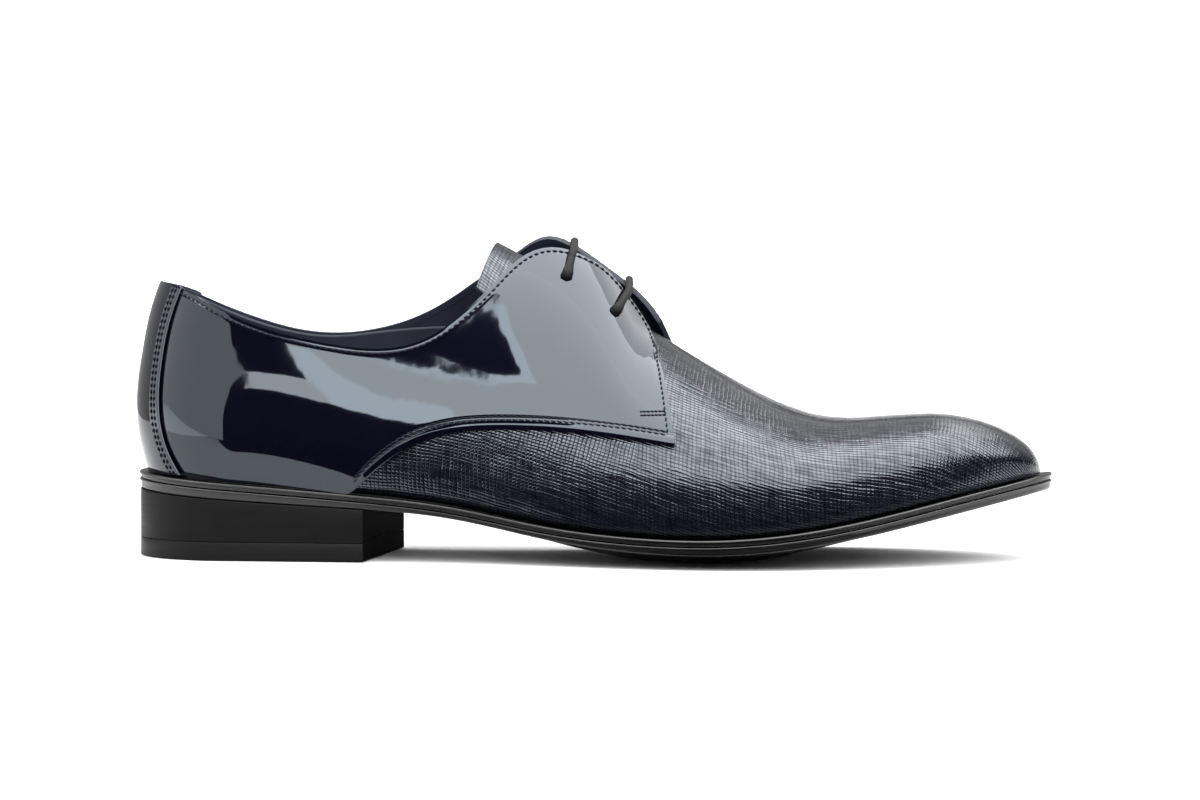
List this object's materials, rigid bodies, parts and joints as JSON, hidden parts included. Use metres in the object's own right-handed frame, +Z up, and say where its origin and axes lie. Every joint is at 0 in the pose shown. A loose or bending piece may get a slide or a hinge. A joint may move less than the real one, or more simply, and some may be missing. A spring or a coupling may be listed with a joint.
{
  "type": "derby dress shoe",
  "caption": "Low lace-up derby dress shoe for the right foot, hollow inside, with smooth glossy quarters over a woven-embossed vamp and tongue, a thin ribbed sole and a block heel.",
  "frame": {"origin": "on the floor under the middle of the shoe's outer box", "axes": "+X from heel to toe, -Y to the lateral (outer) side, +Z up"},
  "size_m": [0.3046, 0.1042, 0.1058],
  "materials": {
    "patent_leather": "patent, mirror gloss",
    "embossed_leather": "woven emboss, glossy",
    "lining_leather": "matt lining",
    "black_sole": "black edge dye, satin",
    "black_rubber": "satin",
    "waxed_cord": "waxed"
  },
  "bodies": {
    "root": {"upper": "embossed_leather", "quarter_lateral": "patent_leather", "quarter_medial": "patent_leather", "back_strip": "patent_leather", "tongue": "embossed_leather", "insole": "lining_leather", "welt": "black_sole", "outsole": "black_sole", "heel_block": "black_sole", "heel_top_piece": "black_rubber", "lace_bar_upper": "waxed_cord", "lace_bar_lower": "waxed_cord"}
  },
  "joints": []
}
